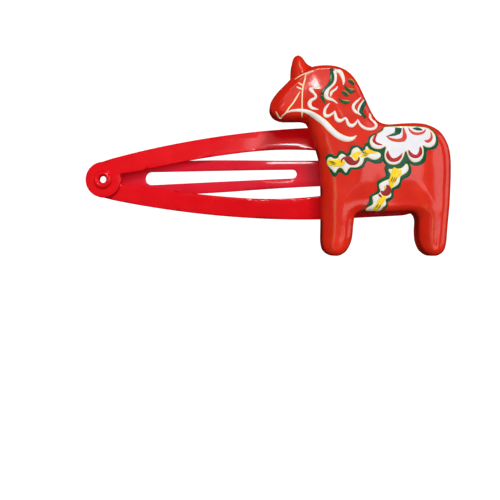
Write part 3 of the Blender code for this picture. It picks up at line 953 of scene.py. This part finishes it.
GREEN_STROKES = (
    ((8.15, 24.95, 0.3), (8.17, 24.6, 0.38), (8.22, 23.9, 0.46), (8.2, 23.4, 0.48), (8.02, 23.0, 0.42),
     (7.65, 22.5, 0.34), (7.33, 22.15, 0.34), (7.03, 21.7, 0.42), (6.93, 21.2, 0.46), (7.08, 20.65, 0.32),
     (7.33, 20.2, 0.1)),
    ((12.68, 20.85, 0.2), (12.52, 20.3, 0.46), (12.27, 19.85, 0.56), (12.13, 19.36, 0.5),
     (12.25, 18.9, 0.38), (12.45, 18.6, 0.36), (12.72, 18.3, 0.3)),
    ((10.35, 23.3, 0.14), (10.62, 23.12, 0.36), (10.88, 22.95, 0.4), (11.15, 22.66, 0.2)),
    ((9.9, 22.66, 0.14), (10.04, 22.34, 0.26), (10.3, 22.02, 0.32), (10.6, 21.82, 0.38),
     (10.95, 21.76, 0.36), (11.38, 21.9, 0.14)),
    ((9.52, 21.78, 0.16), (9.75, 21.6, 0.34), (10.02, 21.41, 0.42), (10.4, 21.2, 0.18)),
    ((9.12, 20.95, 0.14), (9.38, 20.57, 0.3), (9.79, 20.36, 0.36), (10.17, 20.3, 0.34),
     (10.6, 20.42, 0.14)),
)
LEAF_STROKES = (
    # On the saddle flower, over the cream
    ((17.05, 17.0, 0.75), (16.95, 16.6, 0.7), (16.65, 16.22, 0.42), (16.1, 16.02, 0.24),
     (15.45, 15.86, 0.06)),
    ((17.15, 16.95, 0.45), (17.15, 16.5, 0.42), (17.02, 16.1, 0.1)),
    ((18.95, 16.92, 0.1), (19.55, 16.84, 0.36), (20.2, 16.7, 0.12)),
)
OLIVE_STROKES = (
    ((10.4, 23.46, 0.04), (10.75, 23.48, 0.1), (11.08, 23.2, 0.1), (11.3, 22.85, 0.04)),
    ((10.4, 22.25, 0.04), (10.75, 22.13, 0.12), (11.3, 22.16, 0.04)),
    ((9.6, 21.98, 0.04), (10.1, 21.78, 0.1), (10.48, 21.4, 0.04)),
    ((9.5, 20.72, 0.04), (9.9, 20.6, 0.12), (10.6, 20.62, 0.04)),
)
YELLOW_STROKES = (
    ((7.65, 12.45, 0.45), (8.3, 12.33, 0.75), (9.0, 12.28, 0.75), (9.5, 12.1, 0.4), (9.85, 12.0, 0.15)),
    ((9.05, 12.95, 0.12), (9.3, 12.65, 0.3), (9.75, 12.38, 0.4), (10.0, 12.3, 0.2)),
    ((10.85, 13.15, 0.2), (11.3, 13.4, 0.55), (11.8, 13.62, 0.4), (12.15, 13.75, 0.15)),
    ((11.35, 13.4, 0.4), (11.42, 13.0, 0.48), (11.45, 12.65, 0.2)),
    ((12.0, 13.15, 0.2), (12.45, 13.35, 0.4), (12.95, 13.5, 0.3), (13.2, 13.6, 0.1)),
    ((12.35, 13.85, 0.15), (12.8, 13.85, 0.42), (13.3, 13.82, 0.42), (13.75, 13.72, 0.25),
     (14.15, 13.66, 0.08)),
    ((16.95, 11.55, 0.9), (16.8, 11.2, 1.1), (16.55, 10.7, 0.95), (16.3, 10.2, 0.8), (16.1, 9.7, 0.7),
     (16.05, 9.2, 0.4), (16.1, 9.0, 0.15)),
    ((15.15, 9.3, 0.1), (15.25, 9.1, 0.26), (15.2, 8.85, 0.1)),
    ((15.3, 7.85, 0.4), (14.95, 7.6, 0.6), (14.65, 7.2, 0.72), (14.45, 6.8, 0.62), (14.15, 6.4, 0.6),
     (13.95, 6.05, 0.55)),
)
WHITE_STROKES = (
    # Rein
    ((2.15, 19.0, 0.08), (2.9, 19.25, 0.2), (3.72, 19.32, 0.3), (4.55, 19.25, 0.36), (5.05, 19.1, 0.42),
     (5.56, 18.84, 0.5), (6.07, 18.53, 0.56), (6.7, 18.08, 0.62), (7.3, 17.6, 0.64), (7.95, 16.9, 0.64),
     (8.52, 16.35, 0.62), (9.1, 15.92, 0.62), (9.85, 15.58, 0.6), (10.5, 15.48, 0.5), (11.0, 15.6, 0.34),
     (11.45, 15.98, 0.06)),
    # Cheek
    ((6.25, 22.9, 0.14), (6.4, 22.5, 0.2), (6.1, 22.28, 0.1), (5.75, 22.24, 0.1), (5.35, 22.18, 0.24),
     (5.45, 21.98, 0.34), (5.78, 21.62, 0.26), (6.07, 21.25, 0.24), (5.96, 20.9, 0.26), (5.55, 20.7, 0.3),
     (5.28, 20.36, 0.38), (5.27, 20.0, 0.38), (5.5, 19.68, 0.3), (5.94, 19.52, 0.22), (6.45, 19.42, 0.06)),
    # Beside the green plait
    ((8.55, 24.55, 0.3), (8.68, 24.0, 0.28), (8.68, 23.35, 0.24), (8.48, 22.85, 0.22), (8.1, 22.45, 0.22),
     (7.72, 22.07, 0.3), (7.48, 21.63, 0.42), (7.44, 21.2, 0.44), (7.68, 20.88, 0.34), (8.1, 20.74, 0.26),
     (8.47, 20.56, 0.18), (8.95, 20.2, 0.05)),
    ((8.55, 24.6, 0.2), (8.9, 24.55, 0.36), (9.28, 24.42, 0.46), (9.5, 24.1, 0.42), (9.68, 23.62, 0.34),
     (9.77, 23.15, 0.24), (9.72, 22.7, 0.06)),
    ((8.95, 22.5, 0.06), (8.72, 22.12, 0.18), (8.4, 21.9, 0.2), (8.15, 21.66, 0.26), (8.07, 21.4, 0.22),
     (8.02, 21.1, 0.06)),
    # Scallops under the mane
    ((7.9, 20.25, 0.06), (7.57, 19.87, 0.2), (7.3, 19.45, 0.26), (7.22, 18.95, 0.3), (7.36, 18.62, 0.34),
     (7.62, 18.55, 0.32), (7.9, 18.64, 0.26), (8.3, 18.88, 0.18), (8.62, 19.2, 0.1)),
    ((8.6, 19.2, 0.1), (8.67, 18.7, 0.28), (8.8, 18.22, 0.36), (9.05, 17.97, 0.38), (9.35, 17.94, 0.34),
     (9.7, 18.1, 0.22), (10.02, 18.34, 0.16)),
    ((9.98, 18.36, 0.1), (10.16, 18.1, 0.22), (10.3, 17.66, 0.3), (10.55, 17.35, 0.36),
     (10.92, 17.27, 0.34), (11.27, 17.5, 0.24), (11.52, 17.85, 0.14), (11.66, 18.12, 0.06)),
    ((11.7, 18.0, 0.1), (11.88, 17.53, 0.22), (12.26, 17.15, 0.28), (12.7, 16.92, 0.28),
     (13.2, 16.82, 0.26), (13.68, 16.88, 0.26), (14.0, 17.1, 0.28), (14.08, 17.42, 0.28),
     (13.88, 17.74, 0.26), (13.58, 18.0, 0.2), (13.32, 18.32, 0.22), (13.3, 18.6, 0.26),
     (13.22, 18.95, 0.06)),
    # Rear of the mane
    ((12.05, 21.05, 0.06), (11.7, 20.65, 0.18), (11.32, 20.3, 0.24), (11.06, 19.93, 0.28),
     (11.06, 19.55, 0.28), (11.32, 19.17, 0.28), (11.7, 18.92, 0.22), (12.1, 18.64, 0.06)),
    ((12.55, 20.75, 0.06), (12.14, 20.28, 0.16), (11.86, 19.8, 0.2), (11.74, 19.42, 0.18),
     (11.72, 19.1, 0.06)),
)
CREAM_STROKES = (
    ((0.8, 19.2, 0.08), (1.0, 18.78, 0.14), (1.4, 18.36, 0.14), (1.65, 18.6, 0.13), (1.95, 18.85, 0.14),
     (2.2, 19.12, 0.16), (2.58, 19.7, 0.16), (3.08, 20.3, 0.17), (3.53, 21.05, 0.16), (3.98, 21.8, 0.06)),
    ((3.72, 23.0, 0.05), (4.05, 22.8, 0.16), (4.5, 22.5, 0.07)),
    ((3.5, 22.45, 0.05), (3.8, 22.3, 0.17), (4.35, 22.05, 0.06)),
    # Brow line over the forehead: partly the bridle's strap, partly a painted highlight along the forehead
    # ridge
    ((3.3, 23.45, 0.05), (3.9, 23.85, 0.12), (4.5, 24.15, 0.14), (5.1, 24.35, 0.12), (5.7, 24.6, 0.05)),
    ((4.75, 24.15, 0.06), (4.66, 23.5, 0.15), (4.47, 22.85, 0.16), (4.34, 22.2, 0.15), (4.28, 21.4, 0.14),
     (4.26, 20.3, 0.14), (4.26, 19.0, 0.14), (4.27, 18.42, 0.06)),
)
RED_STROKES = (
    ((14.2, 16.2, 0.1), (13.92, 15.8, 0.29), (13.78, 15.36, 0.36), (13.98, 15.03, 0.29),
     (14.38, 14.83, 0.25), (14.88, 14.72, 0.1)),
    ((15.62, 13.95, 0.1), (15.6, 13.4, 0.41), (15.86, 12.92, 0.46), (16.3, 12.7, 0.43),
     (16.86, 12.82, 0.41), (17.26, 13.16, 0.32), (17.52, 13.65, 0.08)),
    ((18.36, 14.05, 0.08), (18.54, 13.62, 0.35), (18.86, 13.3, 0.41), (19.26, 13.18, 0.41),
     (19.66, 13.3, 0.41), (19.93, 13.7, 0.43), (19.94, 14.2, 0.29), (19.86, 14.5, 0.07)),
)
ORANGE_STROKES = (
    ((21.3, 16.5, 0.07), (21.42, 16.02, 0.23), (21.38, 15.62, 0.32), (21.16, 15.3, 0.37),
     (20.78, 15.2, 0.32), (20.45, 15.3, 0.09)),
    ((15.4, 15.9, 0.07), (15.95, 15.52, 0.28), (16.6, 15.34, 0.34), (17.25, 15.34, 0.41),
     (17.72, 15.5, 0.51), (17.85, 15.9, 0.48), (17.78, 16.4, 0.32), (17.68, 17.0, 0.14)),
    ((18.36, 17.0, 0.07), (18.62, 16.58, 0.23), (19.1, 16.26, 0.31), (19.8, 16.22, 0.31),
     (20.36, 16.42, 0.25), (20.64, 16.8, 0.07)),
)
DARK_AREAS = (
    ((9.66, 12.95), (9.85, 13.18), (10.3, 13.26), (10.75, 13.15), (11.02, 12.85), (11.2, 12.68),
     (11.45, 12.68), (11.62, 12.85), (11.72, 13.2), (11.88, 13.15), (11.92, 12.75), (11.75, 12.35),
     (11.4, 12.06), (10.9, 11.98), (10.45, 12.08), (10.1, 12.35), (9.85, 12.68)),
)
DARK_STROKES = (
    ((9.42, 12.3, 0.05), (9.5, 12.7, 0.18), (9.8, 13.0, 0.2), (10.1, 13.0, 0.08)),
    ((15.42, 9.42, 0.1), (15.66, 9.1, 0.5), (15.68, 8.7, 0.72), (15.42, 8.42, 0.78), (15.05, 8.36, 0.56),
     (14.68, 8.6, 0.1)),
    ((14.38, 8.2, 0.08), (14.58, 8.0, 0.28), (14.82, 7.75, 0.08)),
)
BLACK_STROKES = (
    ((7.85, 12.52, 0.04), (8.2, 12.5, 0.1), (8.6, 12.42, 0.04)),
    ((7.95, 12.35, 0.04), (8.35, 12.34, 0.1), (8.8, 12.25, 0.04)),
    ((8.1, 12.18, 0.04), (8.4, 12.16, 0.09), (8.7, 12.1, 0.04)),
    ((12.15, 13.62, 0.04), (12.45, 13.72, 0.1), (12.8, 13.8, 0.04)),
    ((12.25, 13.45, 0.04), (12.6, 13.52, 0.1), (13.05, 13.6, 0.04)),
    ((12.4, 13.25, 0.04), (12.7, 13.34, 0.09), (13.0, 13.38, 0.04)),
    ((16.3, 10.5, 0.04), (16.15, 10.15, 0.1), (15.95, 9.75, 0.04)),
    ((16.55, 10.45, 0.04), (16.42, 10.1, 0.1), (16.2, 9.7, 0.04)),
    ((16.78, 10.4, 0.04), (16.66, 10.1, 0.09), (16.5, 9.8, 0.04)),
    ((14.4, 6.9, 0.04), (14.2, 6.6, 0.1), (14.0, 6.35, 0.04)),
    ((14.68, 6.8, 0.04), (14.52, 6.52, 0.1), (14.35, 6.28, 0.04)),
)

PAINT_SKIRT = 0.06
STROKE_SPREAD = 1.28
STROKE_SHARES = (-1.0, -0.93, -0.6, 0.0, 0.6, 0.93, 1.0)
STROKE_CROWN = 0.02
NARROWEST = 0.03
AREA_STEP = 0.1
AREA_LATTICE = 0.3
AREA_RINGS = (0.12, 0.035)
AREA_CROWN = 0.015
AREA_CROWN_RUN = 0.2
AREA_RIM = 0.01
INSET_STEP = 0.12
INSET_KEPT = 0.9
PAINT_WELD = 1e-8


def brush(vertices, faces, rows, lift):
    """One brush stroke, crowned across its width, with its edges sunk in the lacquer."""
    path = spline(rows, per_span=7, closed=False)
    centre, width = path[:, :2], np.maximum(STROKE_SPREAD * path[:, 2], NARROWEST)
    along = unit(np.gradient(centre, axis=0))
    across = np.stack([-along[:, 1], along[:, 0]], axis=1)
    base = len(vertices)
    count = len(path)
    for share in STROKE_SHARES:
        column = centre + across * (0.5 * share * width)[:, None]
        height = -PAINT_SKIRT
        if abs(share) < 1.0:
            height = lift + STROKE_CROWN * (1.0 - share * share)
        vertices.extend((p[0], g - height, p[1]) for p, g in zip(column, surface(column)))
    heads = [base + k * count for k in range(len(STROKE_SHARES))]
    for a, b in zip(heads, heads[1:] + heads[:1]):
        faces.extend((a + i, a + i + 1, b + i + 1, b + i) for i in range(count - 1))
    faces.append(tuple(heads))
    faces.append(tuple(head + count - 1 for head in reversed(heads)))


def dab(vertices, faces, outline, lift):
    """A filled area of paint with a rounded rim."""
    loop = even_loop(outline, AREA_STEP)
    flat, triangles = tessellate([loop], relief_points(loop, AREA_RINGS, AREA_LATTICE))
    distance, _ = edge_field(flat, [loop])
    crowned = lift + AREA_CROWN * smoothstep(distance / AREA_CROWN_RUN)
    rise = np.where(distance < AREA_RIM, -PAINT_SKIRT, crowned)
    ground = surface(flat)
    base = len(vertices)
    new_vertices, new_faces = two_sided(flat, triangles, ground - rise, ground + PAINT_SKIRT)
    vertices.extend(new_vertices)
    faces.extend(tuple(i + base for i in face) for face in new_faces)


def inset(outline, amount):
    """A slightly smaller copy of an outline."""
    loop = even_loop(outline, INSET_STEP)
    ring = offset_ring(loop, amount)
    distance, _ = edge_field(ring, [loop])
    return ring[inside(ring, [loop]) & (distance > INSET_KEPT * amount)][::2]


def rewidened(strokes, share, more):
    """Copies of the strokes with each width scaled and then widened."""
    return tuple(tuple((x, z, share * width + more) for x, z, width in rows) for rows in strokes)


def paint_layer(name, areas, strokes, lift, finish):
    vertices, faces = [], []
    for area in areas:
        dab(vertices, faces, area, lift)
    for rows in strokes:
        brush(vertices, faces, rows, lift)
    obj = new_object(name, horse_to_row(vertices), faces)
    weld(obj, PAINT_WELD)
    obj.data.materials.append(finish)
    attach(obj, "root")
    return obj


# ---- Camera, light and stage ----

LENS = 84.94
SENSOR = 36.0
CLIP_NEAR = 0.0002
CLIP_FAR = 10.0
CAMERA_AT = (23.28, -165.0, 0.79)

ROOM_COLOUR = (0.92, 0.95, 1.0, 1.0)
ROOM_LIGHT = 0.3
WHITE = (1.0, 1.0, 1.0, 1.0)

FLOOR_BELOW = 0.02
FLOOR_HALF = 1.2
STAGE_DEPTH = 0.8
CARD_HALF = 0.42
CARD_HEIGHT = 0.4

MIDDLE = (0.012, -0.004, 0.0)
CHEEK = (0.0128, -0.0087, 0.0122)
ARM = (0.0047, 0.0, 0.0042)
LIGHTS = (
    # name, (degrees right, degrees up, metres off), target, size, power, seen in reflections
    ("key", (7.0, 34.0, 0.36), MIDDLE, (0.075, 0.075), 0.54, True),
    ("fill", (-2.0, 6.0, 0.9), MIDDLE, (0.5, 0.4), 1.3, False),
    ("low_fill", (-62.0, -14.0, 0.9), MIDDLE, (0.4, 0.4), 0.7, False),
    ("belly_light", (10.0, 3.0, 0.9), MIDDLE, (0.15, 0.13), 0.22, True),
    ("arm_light", (-5.5, 23.0, 0.9), ARM, (0.03, 0.06), 0.024, True),
    ("left_strip", (-44.0, 8.0, 0.7), MIDDLE, (0.05, 0.4), 0.16, True),
    ("right_side", (66.0, 12.0, 0.7), MIDDLE, (0.3, 0.5), 1.2, True),
    ("cheek_light", (-1.0, 15.0, 0.6), CHEEK, (0.055, 0.05), 0.4, True),
    ("behind", (205.0, 30.0, 0.6), MIDDLE, (0.3, 0.2), 2.2, False),
)


def build_camera():
    data = bpy.data.cameras.new("camera")
    data.lens = LENS
    data.sensor_width = SENSOR
    data.clip_start = CLIP_NEAR
    data.clip_end = CLIP_FAR
    camera = bpy.data.objects.new("camera", data)
    bpy.context.scene.collection.objects.link(camera)
    right, back, up = CAMERA_AT
    camera.location = (cad_low.x + right * MM, back * MM, cad_low.z + up * MM)
    camera.rotation_euler = (math.radians(90.0), 0.0, 0.0)
    bpy.context.scene.camera = camera


def aimed(azimuth, elevation, distance, target):
    """A place seen from the target at so many degrees right of the camera side and upwards."""
    a, e = math.radians(azimuth), math.radians(elevation)
    return (target[0] + distance * math.sin(a) * math.cos(e),
            target[1] - distance * math.cos(a) * math.cos(e),
            target[2] + distance * math.sin(e))


def softbox(name, aim, target, size, power, glossy):
    """A rectangular lamp; one that isn't glossy fills shadows without a reflection of its own."""
    data = bpy.data.lights.new(name, "AREA")
    data.shape = "RECTANGLE"
    data.size, data.size_y = size
    data.energy = power
    light = bpy.data.objects.new(name, data)
    bpy.context.scene.collection.objects.link(light)
    light.visible_camera = False
    light.visible_glossy = glossy
    place = aimed(*aim, target)
    light.location = place
    light.rotation_euler = (Vector(target) - Vector(place)).to_track_quat("-Z", "Y").to_euler()


def sheet(name, half, start, stop, finish):
    """A flat sheet between two lines along X, each given by its (y, z)."""
    corners = [(-half, *start), (half, *start), (half, *stop), (-half, *stop)]
    obj = new_object(name, corners, [(0, 1, 2, 3)])
    obj.data.materials.append(finish)
    obj.visible_diffuse = False
    obj.visible_glossy = False
    obj.visible_shadow = False
    return obj


def build_stage():
    """A pale floor at the hooves, and behind it a lit card that fills the view."""
    low = cad_low.z - FLOOR_BELOW * MM
    near, far = (-FLOOR_HALF, low), (STAGE_DEPTH, low)
    floor = sheet("floor", FLOOR_HALF, near, far, plain_finish("pale_floor", 0.8, 0.72))
    top = (STAGE_DEPTH, low + CARD_HEIGHT)
    card = sheet("backdrop", CARD_HALF, far, top, plain_finish("pale_card", 0.3, 1.0))


def build_world():
    """Dim room light that no gloss reflects; the camera itself sees a white surround."""
    world = bpy.data.worlds.new("studio")
    bpy.context.scene.world = world
    world.cycles_visibility.glossy = False
    world.use_nodes = True
    nodes, links = world.node_tree.nodes, world.node_tree.links
    room = nodes["Background"]
    room.inputs["Color"].default_value = ROOM_COLOUR
    room.inputs["Strength"].default_value = ROOM_LIGHT
    seen = nodes.new("ShaderNodeBackground")
    seen.inputs["Color"].default_value = WHITE
    seen.inputs["Strength"].default_value = 1.0
    rays = nodes.new("ShaderNodeLightPath")
    mix = nodes.new("ShaderNodeMixShader")
    links.new(rays.outputs["Is Camera Ray"], mix.inputs["Fac"])
    links.new(room.outputs["Background"], mix.inputs[1])
    links.new(seen.outputs["Background"], mix.inputs[2])
    links.new(mix.outputs["Shader"], nodes["World Output"].inputs["Surface"])


build_camera()
build_world()
build_stage()
for light in LIGHTS:
    softbox(*light)
bpy.context.scene.view_settings.view_transform = "Standard"

# ---- Clip, horse and glue ----

clip_red = material("clip_enamel", CLIP_REDS, 0.25, 0.6, ENAMEL_PEEL)
# The tongue's enamel: painted shade, a darker and more crimson copy of the clip enamel
shaded_crimson = material("tongue_enamel_shaded", TONGUE_SHADED_REDS, 0.3, 0.5, ENAMEL_PEEL)
# The horse's lacquer, with a painted highlight mixed in along its forward-facing ridges
horse_red = material("horse_lacquer_red", HORSE_REDS, 0.3, 0.5, LACQUER_PEEL, highlight_colour=RIDGE_HIGHLIGHT_RED)
glue_clear = material("set_glue", GLUE_CREAMS, 0.25, 0.3, GLUE_PEEL)

clip_frame = build_frame()
clip_frame.data.materials.append(clip_red)
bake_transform(clip_frame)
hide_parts("clip_base", "upper_arm", "lower_arm")

tongue_leaf = build_tongue()
tongue_leaf.data.materials.append(shaded_crimson)
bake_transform(tongue_leaf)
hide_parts("tongue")

eyelet = build_eyelet()
eyelet.data.materials.append(clip_red)
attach(eyelet, "arms")
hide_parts("eyelet_rivet")

horse = build_horse()
horse.data.materials.append(horse_red)
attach(horse, "root")
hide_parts("dala_horse")

ears = build_ears()
ears.data.materials.append(horse_red)
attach(ears, "root")

glue = build_glue()
glue.data.materials.append(glue_clear)
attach(glue, "root")
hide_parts("glue_pad")

# ---- Paint, from the ground up ----

paints = {colour: material("paint_" + colour, pair, PAINT_ROUGHNESS, PAINT_COAT, PAINT_PEEL, PAINT_PATCHES)
          for colour, pair in PAINTS.items()}
white_areas = [inset(area, WHITE_INSET) for area in CREAM_AREAS]
under_white = rewidened(WHITE_STROKES, 1.0, CREAM_EDGE)
white_cores = rewidened(WHITE_STROKES, WHITE_SHARE, 0.0)
paint_layer("paint_green", GREEN_AREAS, GREEN_STROKES, 0.012, paints["green"])
paint_layer("paint_cream", CREAM_AREAS, CREAM_STROKES + under_white, 0.03, paints["cream"])
paint_layer("paint_white", white_areas, white_cores, 0.045, paints["white"])
paint_layer("paint_leaves", (), LEAF_STROKES, 0.062, paints["green"])
paint_layer("paint_olive", (), OLIVE_STROKES, 0.03, paints["olive"])
paint_layer("paint_yellow", (), YELLOW_STROKES, 0.062, paints["yellow"])
paint_layer("paint_red", (), RED_STROKES, 0.066, paints["red"])
paint_layer("paint_orange", (), ORANGE_STROKES, 0.064, paints["orange"])
paint_layer("paint_dark_red", DARK_AREAS, DARK_STROKES, 0.072, paints["dark_red"])
paint_layer("paint_black", (), BLACK_STROKES, 0.08, paints["black"])
